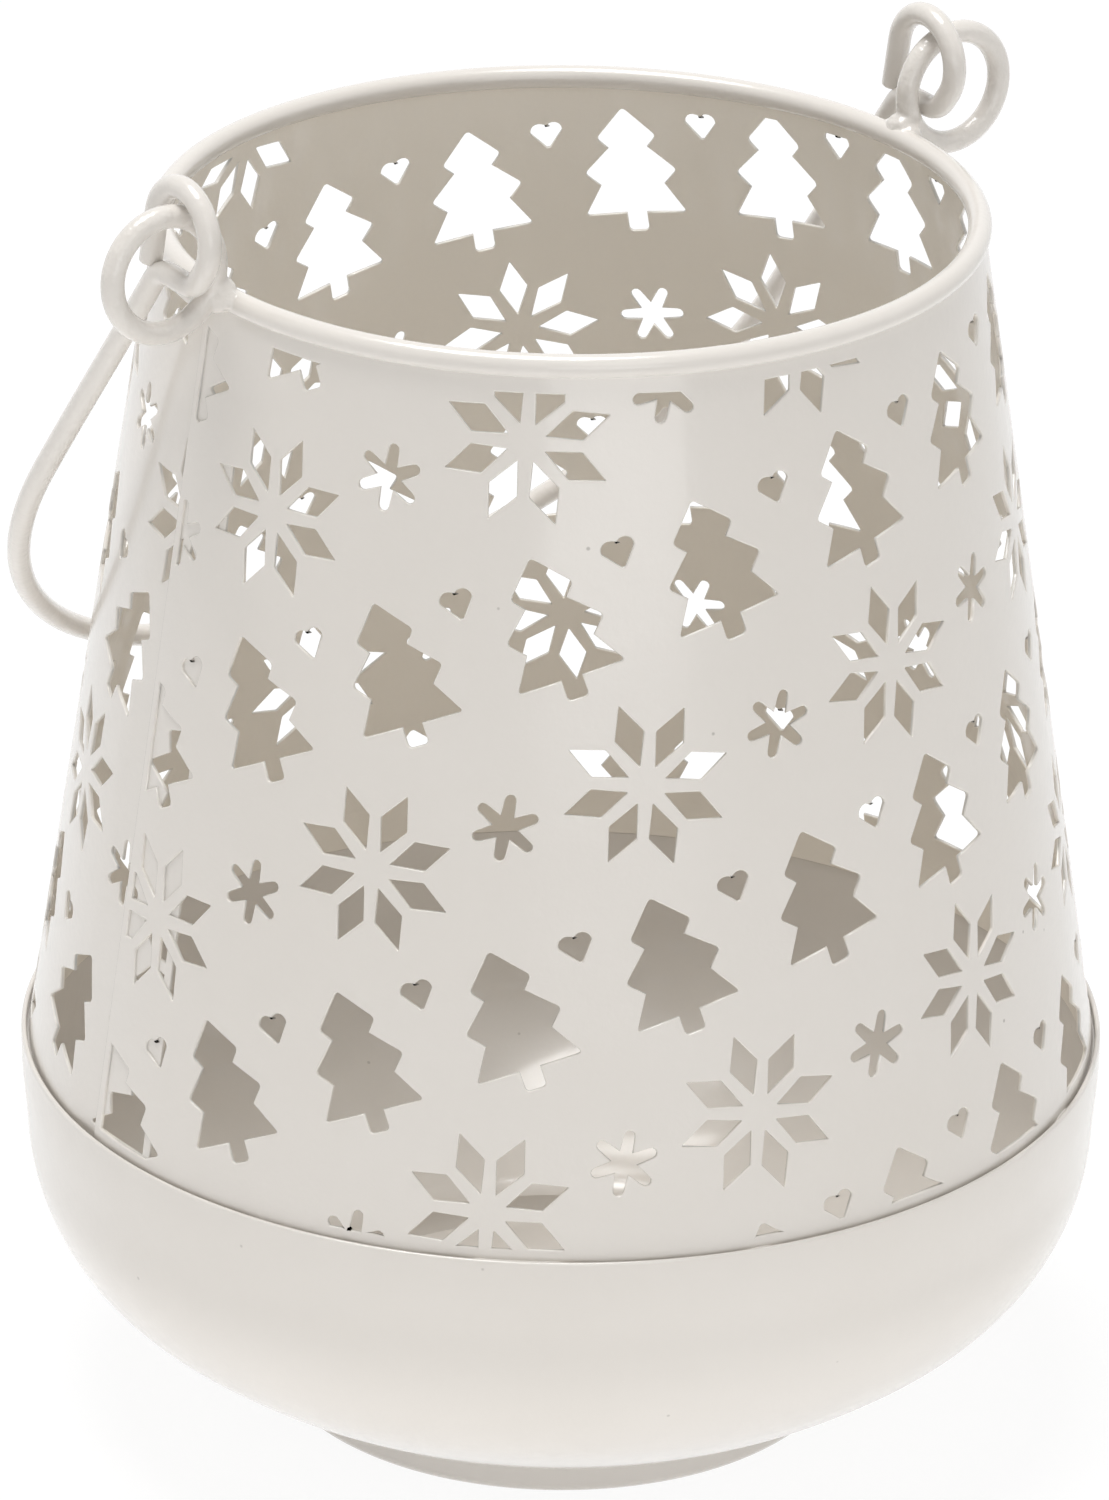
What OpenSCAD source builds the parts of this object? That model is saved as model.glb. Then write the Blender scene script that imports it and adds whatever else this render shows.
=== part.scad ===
// Pierced sheet-metal candle lantern with a swinging wire bail.
// Z is up, the foot stands on z = 0 and the two bail ears lie on the X axis.

/* [Bowl] */
// Outside radius of the bowl's upright wall
bowl_r = 70.25; // [56:0.05:100]
// Height of the bowl's lip above the table
bowl_h = 50.7; // [47:0.1:70]
// Thickness of the bowl's sheet
bowl_sheet = 0.7; // [0.5:0.05:1.2]
// Radius of the foot that the bowl stands on
foot_r = 38.6; // [30:0.1:50]
// Height at which the foot's side meets the bowl
foot_h = 4.6; // [3:0.1:8]
// Rounding where the foot's side turns under
foot_round = 1.4; // [0.8:0.1:2.4]
// Radius of the turn between the bowl's floor and its wall
corner_r = 27; // [18:0.5:30]
// Radius of the slow curve of the bowl's floor
floor_r = 81; // [65:0.5:110]
// Angle below level at which the two curves meet
corner_turn = 50.5; // [42:0.5:56]
// How far the lip is opened out to take the shade
lip_swell = 0.65; // [0.6:0.05:1.2]
// Depth of the seat inside the lip
seat_depth = 5.5; // [4:0.1:8]
// Gap between the lip and the shade's skirt
lip_gap = 0.3; // [0.2:0.05:0.6]

/* [Shade] */
// Thickness of the shade's sheet
shade_sheet = 0.6; // [0.4:0.05:0.9]
// Outside radius of the sheet at the rim
mouth_r = 52.3; // [44:0.1:56]
// Height of the rim's centre above the table
rim_z = 162.7; // [120:0.1:220]
// Radius of the rolled rim
bead_r = 1.5; // [1.3:0.05:2.2]
// Radius of the steel wire inside the rolled rim
core_r = 0.95; // [0.7:0.05:1.2]
// Clearance of that wire in the roll
core_gap = 0.05; // [0.03:0.01:0.1]
// Plain margin above the lip
low_margin = 1.5; // [0.5:0.1:10]
// Plain margin below the middle of the rim
top_margin = 3.3; // [2.8:0.1:15]
// Direction of the shade's outer lap edge, seen from above
lap_az = 176; // [170:1:190]
// How far the ends of the sheet overlap, in degrees
lap_turn = 9.5; // [5:0.5:12]

/* [Cut-outs] */
// Distance between neighbouring trees in a row
tree_pitch = 21; // [19:0.1:30]
// Distance from one row of trees to the next
row_pitch = 45.6; // [44:0.1:60]
// Slope of the rows across the flat sheet
row_turn = 19.5; // [0:0.5:40]
// Direction from which the flat sheet is laid out
sheet_az = 234; // [200:1:260]
// Place of the first tree along its row
tree_start = 5.1; // [0:0.1:20]
// Place of the first row of trees up the sheet
tree_row = 31.3; // [25:0.1:40]
// Place of the first star along its row
star_start = -6; // [-18:0.1:18]
// Place of the first row of stars up the sheet
star_row = 8.7; // [0:0.1:20]
// Height of the hearts above the middle of the trees
heart_raise = 7; // [6:0.1:8]
// Height of the small snowflakes above the middle of the stars
flake_raise = 0.6; // [0:0.1:1]
// Width of a tree
tree_w = 13.8; // [10:0.1:14]
// Height of a tree
tree_h = 18.5; // [14:0.1:19]
// Width of a heart
heart_w = 4.2; // [3:0.1:4.6]
// Distance from a star's middle to its tips
star_r = 10.7; // [8:0.1:11]
// Length of each petal of a star
petal_l = 8.2; // [6:0.1:8.4]
// Width of each petal of a star
petal_w = 3.8; // [3:0.1:4]
// Reach of a small snowflake's arms
flake_r = 4.3; // [3:0.1:4.5]
// Width of a small snowflake's arms
arm_w = 1.36; // [1:0.02:1.5]

/* [Bail] */
// Radius of the wire of the bail and ears
wire_r = 1.5; // [1.2:0.05:2]
// Radius of an ear, to the middle of its wire
ring_r = 7.5; // [7:0.1:9]
// How steeply the ears rise from the rim
ear_lift = 28.3; // [20:0.1:40]
// Radius of the lump of weld that holds an ear
weld_r = 2.4; // [2:0.1:2.6]
// Half the distance between the bail's legs where its arch starts
arch_r = 58.1; // [50:0.1:75]
// Length of the bail from its hinge to the start of the arch
arch_z = 53.3; // [40:0.1:80]
// How far each leg leans outwards, in degrees
leg_splay = 0.8; // [0:0.1:3]
// Sideways play that the hanging bail has taken up
bail_shift = -0.5; // [-0.6:0.1:0.6]
// Radius of a hook, to the middle of its wire
hook_r = 5.9; // [5.6:0.1:7]
// How far a hook turns
hook_turn = 206; // [190:1:220]
// Length of a hook's straight tip
tip_run = 7; // [4:0.1:7]
// Distance from the hinge to the far side of a hook
hook_reach = 4.7; // [4.6:0.1:5]
// How far a hook's middle lies off the hinge
hook_set = 0.3; // [0:0.1:0.6]
// Radius of the bends in the joggle above a hook
joggle_r = 4; // [3.5:0.1:6]
// Straight wire between those bends
joggle_run = 3.4; // [2:0.1:5]
// Height of the hinge below the crest of the ears
hinge_drop = 1.8; // [1.7:0.05:1.9]
// How far the bail's legs lie off the hinge
leg_set = 0; // [-1:0.1:2]
// Angle at which the bail rests, from upright
bail_rest = 143.1; // [120:0.1:150]

/* [Hidden] */
$fn = 96;
enamel = [0.87, 0.85, 0.81];
bare_steel = [0.6, 0.61, 0.62];
whole_turn = 360;
half_turn = whole_turn / 2;
quarter_turn = whole_turn / 4;

// The bowl's two curves, with their centres on one line so that they run smoothly together
corner_x = bowl_r - corner_r;
floor_x = corner_x - (floor_r - corner_r) * cos(corner_turn);
floor_z = foot_h + sqrt(floor_r * floor_r - (foot_r - floor_x) * (foot_r - floor_x));
corner_z = floor_z - (floor_r - corner_r) * sin(corner_turn);
seat_z = bowl_h - seat_depth;
lip_r = bowl_r + lip_swell;
lip_round = bowl_sheet / 2;
swell_run = 5;
swell_top = seat_z - bowl_sheet;
swell_low = swell_top - swell_run * lip_swell;

// The shade's cone and the flat sheet that it is rolled from
skirt_r = lip_r - bowl_sheet - lip_gap;
skirt_z = bowl_h - lip_gap;
lean = atan2(skirt_r - mouth_r, rim_z - skirt_z);
slant = (rim_z - skirt_z) / cos(lean);
apex_run = skirt_r / sin(lean);
bead_x = mouth_r - shade_sheet;
lap_slit = 0.4;
end_margin = 1;
lap_bite = 0.05;
cut_out = 1;
cut_in = 3;
open_share = 0.85;
lobe_steps = 3;
end_steps = 2;

// Spacings of the cut-outs: the stars stand root three times as far apart as the trees
star_pitch = tree_pitch * sqrt(3);
petals = 8;
arms = 6;
hub_share = 0.38;
hub_r = flake_r * hub_share;
petal_belly_share = 0.5;
lobe_share = 0.265;
drop_share = 0.6;
heart_tip_share = 0.05;
dip_turn = 152;
flank_turn = 8;
// Right half of the tree from the top down: share of half its width, share of its height
tree_shares = [[0, 1], [0.58, 0.765], [0.377, 0.678], [0.906, 0.489], [0.623, 0.378],
    [1, 0.146], [0.193, 0.146], [0.193, 0]];

// Ears, hinge and bail
ear_off = ring_r + wire_r + bead_r;
ear_x = bead_x + ear_off * cos(ear_lift);
ear_z = rim_z + ear_off * sin(ear_lift);
weld_x = bead_x + bead_r * cos(ear_lift);
weld_z = rim_z + bead_r * sin(ear_lift);
weld_gap = 0.02;
hinge_z = ear_z + ring_r - hinge_drop;
hook_z = hook_r - hook_reach;
joggle_turn = acos((2 * joggle_r - hook_set - hook_r + leg_set) / norm([2 * joggle_r, joggle_run]))
    - atan2(joggle_run, 2 * joggle_r);
shank_run = wire_r;
joggle_z = hook_z + shank_run + 2 * joggle_r * sin(joggle_turn) + joggle_run * cos(joggle_turn);
leg_run = (arch_z - joggle_z) / cos(leg_splay);
bow_r = arch_r / cos(leg_splay);
joint_lap = 0.05;
joint_swell = 0.01;

// Solid outline of the bowl, drawn in by the given amount on all sides
module bowl_outline(inset) {
    foot_top = foot_h + foot_round;
    join_z = corner_z - (corner_r - inset) * sin(corner_turn);
    intersection() {
        translate([floor_x, floor_z]) circle(r = floor_r - inset);
        translate([0, foot_h - foot_round]) square([bowl_r, join_z - foot_h + foot_round]);
    }
    intersection() {
        translate([corner_x, corner_z]) circle(r = corner_r - inset);
        translate([floor_x, join_z]) square([bowl_r, corner_r]);
    }
    translate([0, join_z]) square([corner_x, corner_z - join_z]);
    translate([0, corner_z]) square([bowl_r - inset, bowl_h - corner_z]);
    translate([0, inset]) square([foot_r - foot_round, foot_top]);
    translate([0, foot_round]) square([foot_r - inset, foot_h]);
    translate([foot_r - foot_round, foot_round]) circle(r = foot_round - inset);
}

// Spun bowl with its pressed foot and the opened-out lip that seats the shade
module base_bowl() {
    color(enamel) rotate_extrude() difference() {
        union() {
            intersection() {
                bowl_outline(0);
                square([lip_r, bowl_h]);
            }
            polygon([[bowl_r - bowl_sheet, swell_low], [bowl_r, swell_low], [lip_r, swell_top],
                [lip_r, bowl_h - lip_round], [bowl_r - bowl_sheet, bowl_h - lip_round]]);
            translate([lip_r - lip_round, bowl_h - lip_round]) circle(r = lip_round);
        }
        intersection() {
            bowl_outline(bowl_sheet);
            square([lip_r, seat_z + lip_gap]);
        }
        translate([0, seat_z]) square([lip_r - bowl_sheet, bowl_h]);
    }
}

// Points along an arc, both ends included
function arc(middle, radius, from, to, steps) =
    [for (k = [0 : steps]) let (turn = from + (to - from) * k / steps) middle + radius * [cos(turn), sin(turn)]];

// Right half of an outline joined to its mirror image; the middle points are shared
function both_sides(right) = concat(right, [for (i = [len(right) - 1 : -1 : 0]) [-right[i][0], right[i][1]]]);

// Fir tree of three tiers on a short trunk
module tree() {
    right = [for (s = tree_shares) [s[0] * tree_w / 2, (s[1] - 0.5) * tree_h]];
    left = [for (i = [len(right) - 1 : -1 : 1]) [-right[i][0], right[i][1]]];
    polygon(concat(right, left));
}

// Heart of two round lobes drawn down to a blunt tip
module heart() {
    lobe_r = heart_w * lobe_share;
    lobe_x = heart_w / 2 - lobe_r;
    tip = [heart_w * heart_tip_share, -heart_w * drop_share];
    polygon(both_sides(concat(arc([lobe_x, 0], lobe_r, dip_turn, -flank_turn, lobe_steps), [tip])));
}

// Star of long lozenge petals around a closed middle
module star() {
    root = star_r - petal_l;
    belly = root + petal_l * petal_belly_share;
    for (i = [0 : petals - 1]) rotate(i * whole_turn / petals)
        polygon([[root, 0], [belly, -petal_w / 2], [star_r, 0], [belly, petal_w / 2]]);
}

// Small snowflake of six round-ended arms
module flake() {
    end = flake_r - arm_w / 2;
    notch = half_turn / arms;
    polygon([for (i = [0 : arms - 1]) let (turn = i * whole_turn / arms)
        for (p = concat([hub_r * [cos(notch), -sin(notch)]], arc([end, 0], arm_w / 2, -quarter_turn, quarter_turn,
            end_steps)))
        [p[0] * cos(turn) - p[1] * sin(turn), p[0] * sin(turn) + p[1] * cos(turn)]]);
}

// Turns a place in the rows, along and up, into a direction and a height up the cone
function on_cone(along, up) =
    let (x = along * cos(row_turn) - up * sin(row_turn),
        y = apex_run - along * sin(row_turn) - up * cos(row_turn),
        swing = atan2(x, y))
    [sheet_az + swing / sin(lean), apex_run - norm([x, y]), row_turn - swing];

// Every place of one kind of cut-out, of the given reach, that opens the sheet between two directions
function places(start, row, pitch, reach, from, to) =
    let (most = reach * open_share, swing = atan(most / mouth_r))
    [for (j = [-2 : 3], i = [-6 : 24])
        let (p = on_cone(start + i * pitch, row + j * row_pitch))
        if (p[0] > from - swing && p[0] < to + swing && p[1] > low_margin - most
            && p[1] < slant - top_margin + most) p];

// Flat outline that a cut-out at p may open: within the plain margins, also at the ends of its layer
function window(p, from, to) =
    let (low = low_margin - p[1],
        high = slant - top_margin - p[1],
        run = apex_run - p[1],
        left = tan((from + end_margin - p[0]) * sin(lean)),
        right = tan((to - end_margin - p[0]) * sin(lean)))
    [[left * (run - low), low], [right * (run - low), low], [right * (run - high), high], [left * (run - high), high]];

// Stands a flat shape square to the cone and runs it through the sheet, cut off at its window where it reaches that
module through_sheet(p, reach, from, to) {
    swing = atan(reach / mouth_r);
    whole = p[1] > low_margin + reach && p[1] < slant - top_margin - reach
        && p[0] > from + end_margin + swing && p[0] < to - end_margin - swing;
    rotate([0, 0, p[0]])
        translate([skirt_r - p[1] * sin(lean), 0, skirt_z + p[1] * cos(lean)])
        rotate([0, -lean, 0]) rotate([quarter_turn, 0, quarter_turn])
        translate([0, 0, -cut_in]) linear_extrude(cut_in + cut_out)
        if (whole) {
            rotate(p[2]) children();
        } else {
            intersection() {
                rotate(p[2]) children();
                polygon(window(p, from, to));
            }
        }
}

// All cut-outs of the layer with the given ends that reach the stretch of it between two directions
module cutouts(from, to, start, end) {
    tree_reach = norm([tree_w, tree_h]) / 2;
    low = max(from, start);
    high = min(to, end);
    for (p = places(tree_start, tree_row, tree_pitch, tree_reach, low, high))
        through_sheet(p, tree_reach, start, end) tree();
    for (p = places(tree_start - tree_pitch / 2, tree_row + heart_raise, tree_pitch, heart_w, low, high))
        through_sheet(p, heart_w, start, end) heart();
    for (p = places(star_start, star_row, star_pitch, star_r, low, high))
        through_sheet(p, star_r, start, end) star();
    for (p = places(star_start + star_pitch / 2, star_row + flake_raise, star_pitch, flake_r, low, high))
        through_sheet(p, flake_r, start, end) flake();
}

// Point of the shade's section, the given way up the slope and inside the sheet
function on_sheet(up, depth) = [skirt_r - up * sin(lean) - depth, skirt_z + up * cos(lean)];

// Section of the shade: skirt, leaning sheet and the rim rolled round its wire
module shade_section() {
    difference() {
        union() {
            polygon([[skirt_r, seat_z], [skirt_r, skirt_z], on_sheet(slant, 0), on_sheet(slant, shade_sheet),
                on_sheet(0, shade_sheet), [skirt_r - shade_sheet, seat_z]]);
            translate([bead_x, rim_z]) circle(r = bead_r);
        }
        translate([bead_x, rim_z]) circle(r = core_r + core_gap);
    }
}

// Narrow stretch of the leaning sheet alone, lying the given depth inside
module sheet_strip(from, to, low, high, depth) {
    rotate([0, 0, from]) rotate_extrude(angle = to - from)
        polygon([on_sheet(low, depth), on_sheet(high, depth), on_sheet(high, depth + shade_sheet),
            on_sheet(low, depth + shade_sheet)]);
}

// Quarter of the shade's outer layer, from the given direction on
module shade_quarter(from) {
    end = lap_az + whole_turn;
    difference() {
        rotate([0, 0, from]) rotate_extrude(angle = quarter_turn) shade_section();
        if (from < lap_az && from + quarter_turn > lap_az)
            sheet_strip(lap_az - lap_slit, lap_az, low_margin, slant - top_margin, -lap_bite);
        cutouts(from, from + quarter_turn, lap_az, end);
        cutouts(from + whole_turn, from + whole_turn + quarter_turn, lap_az, end);
    }
}

// Inner layer of the lap, carried on from the outer layer's far end and lying inside its near one
module inner_lap() {
    end = lap_az + whole_turn;
    difference() {
        sheet_strip(lap_az - lap_slit - lap_bite, lap_az + lap_turn, 0, slant - top_margin / 2,
            shade_sheet - lap_bite);
        cutouts(end, end + lap_turn, end, end + lap_turn);
    }
}

// Sheet rolled to a cone, lapped at its ends, with a wired rim and a straight skirt
module shade() {
    color(enamel) {
        union() {
            union() {
                shade_quarter(quarter_turn);
                shade_quarter(half_turn);
            }
            inner_lap();
        }
        union() {
            shade_quarter(half_turn + quarter_turn);
            shade_quarter(0);
        }
    }
}

// Steel wire that the rim is rolled round
module rim_wire() {
    color(bare_steel) translate([0, 0, rim_z]) rotate_extrude() translate([bead_x, 0]) circle(r = core_r);
}

// Ring of wire welded to the outside of the rim
module ear() {
    color(enamel) difference() {
        union() {
            translate([ear_x, 0, ear_z]) rotate([quarter_turn, 0, 0])
                rotate_extrude() translate([ring_r, 0]) circle(r = wire_r);
            translate([weld_x, 0, weld_z]) sphere(r = weld_r);
        }
        translate([0, 0, rim_z]) rotate_extrude() translate([bead_x, 0]) circle(r = bead_r + weld_gap);
        translate([0, 0, skirt_z]) cylinder(h = rim_z - skirt_z, r1 = skirt_r + weld_gap, r2 = mouth_r + weld_gap);
    }
}

module ear_right() {
    ear();
}

module ear_left() {
    rotate([0, 0, half_turn]) ear();
}

// Runs the wire on from where it stands: each step is a roll, a bend radius and a turn,
// or a roll, zero and a straight length, and each straight laps over the bends at its ends
module bent_wire(steps, i = 0) {
    if (i < len(steps)) {
        radius = steps[i][1];
        amount = steps[i][2];
        rotate([0, 0, steps[i][0]]) {
            if (radius > 0) {
                rotate([quarter_turn, 0, half_turn]) translate([-radius, 0, 0])
                    rotate_extrude(angle = amount) translate([radius, 0]) circle(r = wire_r);
                translate([radius, 0, 0]) rotate([0, amount, 0]) translate([-radius, 0, 0])
                    bent_wire(steps, i + 1);
            } else {
                translate([0, 0, -joint_lap]) cylinder(h = amount + 2 * joint_lap, r = wire_r + joint_swell);
                translate([0, 0, amount]) bent_wire(steps, i + 1);
            }
        }
    }
}

// One leg of the bail, from the end of its arch down to the tip of its hook
module leg() {
    translate([arch_r, leg_set, arch_z]) rotate([0, leg_splay, 0]) rotate([half_turn, 0, 0]) bent_wire([
        [0, 0, leg_run],
        [-quarter_turn, joggle_r, joggle_turn],
        [0, 0, joggle_run],
        [half_turn, joggle_r, joggle_turn],
        [0, 0, shank_run],
        [0, hook_r, hook_turn],
        [0, 0, tip_run]]);
}

// Wire bail hooked through both ears, shown hanging against the shade
module bail() {
    color(enamel) translate([bail_shift, 0, hinge_z]) rotate([-bail_rest, 0, 0]) {
        translate([0, leg_set, arch_z + bow_r * sin(leg_splay)]) rotate([quarter_turn, 0, 0])
            rotate([0, 0, -leg_splay]) rotate_extrude(angle = half_turn + 2 * leg_splay)
            translate([bow_r, 0]) circle(r = wire_r);
        leg();
        mirror([1, 0, 0]) leg();
    }
}

base_bowl();
shade();
rim_wire();
ear_left();
ear_right();
bail();
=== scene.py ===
import math
import bpy
import bmesh
from mathutils import Matrix, Vector, noise


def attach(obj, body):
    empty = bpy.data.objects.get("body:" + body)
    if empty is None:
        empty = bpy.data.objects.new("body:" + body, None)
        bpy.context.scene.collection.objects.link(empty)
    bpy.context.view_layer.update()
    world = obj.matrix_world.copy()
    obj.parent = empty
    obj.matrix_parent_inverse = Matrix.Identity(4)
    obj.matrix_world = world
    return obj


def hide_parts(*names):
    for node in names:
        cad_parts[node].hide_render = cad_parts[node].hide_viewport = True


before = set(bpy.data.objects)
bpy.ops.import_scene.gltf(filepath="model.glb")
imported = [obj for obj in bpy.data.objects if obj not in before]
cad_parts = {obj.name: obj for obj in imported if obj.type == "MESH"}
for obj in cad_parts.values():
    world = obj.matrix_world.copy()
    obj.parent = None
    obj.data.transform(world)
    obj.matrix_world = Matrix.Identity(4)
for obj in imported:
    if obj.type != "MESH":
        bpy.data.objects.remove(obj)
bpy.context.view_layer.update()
scene = bpy.context.scene
mm = 0.001    # sizes below are in millimetres, the scene is in metres


def addObject(name, data):
    thing = bpy.data.objects.new(name, data)
    scene.collection.objects.link(thing)
    return thing


def meshFrom(name, bm):
    mesh = bpy.data.meshes.new(name)
    bm.to_mesh(mesh)
    bm.free()
    return mesh


def finishPiece(name, bm, material, body="lantern", sharpAngle=40):
    # turns a bmesh into a smooth shaded piece that rides on a body
    mesh = meshFrom(name, bm)
    mesh.polygons.foreach_set("use_smooth", [True] * len(mesh.polygons))
    mesh.set_sharp_from_angle(angle=math.radians(sharpAngle))
    mesh.materials.append(material)
    piece = addObject(name, mesh)
    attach(piece, body)
    return piece


def smoothStep(low, high, value):
    share = min(1, max(0, (value - low) / (high - low)))
    return share * share * (3 - 2 * share)


def arcPoints(middle, radius, start, end, steps):
    points = []
    for k in range(steps + 1):
        angle = math.radians(start + (end - start) * k / steps)
        points.append((middle[0] + radius * math.cos(angle), middle[1] + radius * math.sin(angle)))
    return points


def spinGeometry(bm, geom, centre, axis, angle, steps, merge):
    bmesh.ops.spin(bm, geom=geom, cent=centre, axis=axis, dvec=(0, 0, 0), angle=angle, steps=steps,
                   use_merge=merge, use_normal_flip=False, use_duplicate=False)


def roundOff(bm, geom, offset, affect):
    bmesh.ops.bevel(bm, geom=geom, offset=offset, offset_type="OFFSET", segments=3, profile=0.5,
                    affect=affect, material=-1)


def spinProfile(bm, points, steps):
    # full turn of a section drawn in (radius, height)
    verts = [bm.verts.new((x * mm, 0, z * mm)) for x, z in points]
    edges = [bm.edges.new((a, b)) for a, b in zip(verts, verts[1:])]
    spinGeometry(bm, verts + edges, (0, 0, 0), (0, 0, 1), 2 * math.pi, steps, True)


def aimedAt(position, target):
    # cameras and lamps look along their own -z
    aim = (Vector(target) - Vector(position)).to_track_quat("-Z", "Y")
    return Matrix.Translation(position) @ aim.to_matrix().to_4x4()


photoCamera = {    # where the photograph was taken from
    "position": (-0.58251, -0.80972, 0.53816),
    "target": (-0.00105, 0.00064, 0.08868),
    "roll": 0.01117,
    "lens": 273.66,
    "sensorWidth": 36,
    "clipStart": 0.05,
    "clipEnd": 20,
}


def addCamera(setup):
    data = bpy.data.cameras.new("photoCamera")
    data.sensor_fit = "HORIZONTAL"
    data.sensor_width = setup["sensorWidth"]
    data.lens = setup["lens"]
    data.clip_start = setup["clipStart"]
    data.clip_end = setup["clipEnd"]
    camera = addObject("photoCamera", data)
    roll = Matrix.Rotation(setup["roll"], 4, "Z")
    camera.matrix_world = aimedAt(setup["position"], setup["target"]) @ roll
    scene.camera = camera


addCamera(photoCamera)
print("camera placed")


def feed(tree, socket, source):
    # a socket takes another node's output or a plain value
    if isinstance(source, bpy.types.NodeSocket):
        tree.links.new(source, socket)
    else:
        socket.default_value = source


def addNode(tree, kind, feeds=None, **settings):
    node = tree.nodes.new(kind)
    for key, value in settings.items():
        setattr(node, key, value)
    for key, source in (feeds or {}).items():
        feed(tree, node.inputs[key], source)
    return node


def calculate(tree, operation, first, second):
    return addNode(tree, "ShaderNodeMath", {0: first, 1: second}, operation=operation).outputs[0]


def remap(tree, source, low, high, toLow=0, toHigh=1):
    return addNode(tree, "ShaderNodeMapRange", {"Value": source, "From Min": low, "From Max": high,
                                                "To Min": toLow, "To Max": toHigh}).outputs[0]


def mixColours(tree, share, first, second):
    mix = addNode(tree, "ShaderNodeMix", {0: share, 6: first, 7: second}, data_type="RGBA")
    return mix.outputs[2]


def addBump(tree, shader, height, strength, depth):
    bump = addNode(tree, "ShaderNodeBump", {"Height": height, "Strength": strength, "Distance": depth})
    feed(tree, shader.inputs["Normal"], bump.outputs["Normal"])


def newMaterial(name):
    material = bpy.data.materials.new(name)
    material.use_nodes = True
    return material, material.node_tree, material.node_tree.nodes["Principled BSDF"]


enamelCoat = {    # texture scales are per metre
    "peel": {"Scale": 900, "Detail": 2, "Roughness": 0.45},
    "wave": {"Scale": 55, "Detail": 1.5, "Roughness": 0.4},
    "cloud": {"Scale": 28, "Detail": 4, "Roughness": 0.55},
    "cloudRange": (0.3, 0.7),
    "cloudAmount": 0.5,
    "specks": {"Scale": 330, "Randomness": 1},
    "speckEdge": (0.1, 0.05),
    "speckRarity": 0.972,     # only the rest of the cells hold a speck
}


def buildCoatRelief(coat):
    # orange peel, slow waves, clouds and small specks of a dipped and baked enamel coat
    group = bpy.data.node_groups.new("coatRelief", "ShaderNodeTree")
    for label, kind in (("Vector", "Vector"), ("Peel", "Float"), ("Specks", "Float")):
        group.interface.new_socket(name=label, in_out="INPUT", socket_type="NodeSocket" + kind)
    for label in ("Height", "Cloud", "Speck"):
        group.interface.new_socket(name=label, in_out="OUTPUT", socket_type="NodeSocketFloat")
    given = group.nodes.new("NodeGroupInput").outputs
    peel, wave, cloud = [
        addNode(group, "ShaderNodeTexNoise", {"Vector": given["Vector"], **coat[kind]}).outputs["Fac"]
        for kind in ("peel", "wave", "cloud")]
    cells = addNode(group, "ShaderNodeTexVoronoi", {"Vector": given["Vector"], **coat["specks"]})
    dice = addNode(group, "ShaderNodeSeparateColor", {0: cells.outputs["Color"]})
    rare = calculate(group, "GREATER_THAN", dice.outputs[0], coat["speckRarity"])
    dot = calculate(group, "MULTIPLY", remap(group, cells.outputs["Distance"], *coat["speckEdge"]), rare)
    haze = remap(group, cloud, *coat["cloudRange"])
    addNode(group, "NodeGroupOutput", {
        "Height": calculate(group, "ADD", calculate(group, "MULTIPLY", peel, given["Peel"]), wave),
        "Cloud": calculate(group, "MULTIPLY", haze, coat["cloudAmount"]),
        "Speck": calculate(group, "MULTIPLY", dot, given["Specks"]),
    })
    return group


coatRelief = buildCoatRelief(enamelCoat)

enamelLook = {
    "colour": (0.745, 0.710, 0.668, 1),
    "cloudColour": (0.712, 0.674, 0.624, 1),
    "speckColour": (0.28, 0.26, 0.23, 1),
    "thinColour": (0.47, 0.47, 0.46, 1),        # where the coat is thin on a cut edge the steel greys it
    "insideBounceColour": (0.875, 0.825, 0.745, 1),    # painted bounce light: the inner wall is coloured lighter and a little yellower
    "roughness": (0.21, 0.31),
    "coat": 0.5,
    "coatRoughness": 0.07,
    "refraction": 1.5,
    "patches": {"Scale": 160, "Detail": 3},
    "patchRange": (0.35, 0.7),
    "bumpDepth": 0.0004,
}


def makeEnamel(name, look, peel=0.25, wave=0.35, specks=0.6, edges=0.0):
    material, tree, shader = newMaterial(name)
    place = addNode(tree, "ShaderNodeTexCoord").outputs["Object"]
    relief = addNode(tree, "ShaderNodeGroup")
    relief.node_tree = coatRelief
    for label, source in (("Vector", place), ("Peel", peel), ("Specks", specks)):
        feed(tree, relief.inputs[label], source)
    cloud = relief.outputs["Cloud"]
    colour = mixColours(tree, cloud, look["colour"], look["cloudColour"])
    colour = mixColours(tree, relief.outputs["Speck"], colour, look["speckColour"])
    if edges:    # the sheet says where its inner wall and its cut edges are
        inside, cut = [addNode(tree, "ShaderNodeAttribute", attribute_name=layer).outputs["Fac"]
                       for layer in ("inside", "cutEdge")]
        # painted bounce light: the inner wall takes a lighter, warmer colour
        colour = mixColours(tree, inside, colour, look["insideBounceColour"])
        patches = addNode(tree, "ShaderNodeTexNoise", {"Vector": place, **look["patches"]})
        patchy = remap(tree, patches.outputs["Fac"], *look["patchRange"], toHigh=edges)
        colour = mixColours(tree, calculate(tree, "MULTIPLY", cut, patchy), colour, look["thinColour"])
    feed(tree, shader.inputs["Base Color"], colour)
    feed(tree, shader.inputs["Roughness"], remap(tree, cloud, 0, 1, *look["roughness"]))
    addBump(tree, shader, relief.outputs["Height"], wave, look["bumpDepth"])
    shader.inputs["Coat Weight"].default_value = look["coat"]
    shader.inputs["Coat Roughness"].default_value = look["coatRoughness"]
    shader.inputs["IOR"].default_value = look["refraction"]
    return material


steelLook = {
    "colour": (0.52, 0.53, 0.54, 1),
    "darkColour": (0.36, 0.36, 0.36, 1),
    "roughness": (0.26, 0.44),
    "lineStretch": (30, 30, 4000),
    "lines": {"Scale": 1, "Detail": 3},
    "bump": 0.3,
    "bumpDepth": 0.0001,
}


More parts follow.
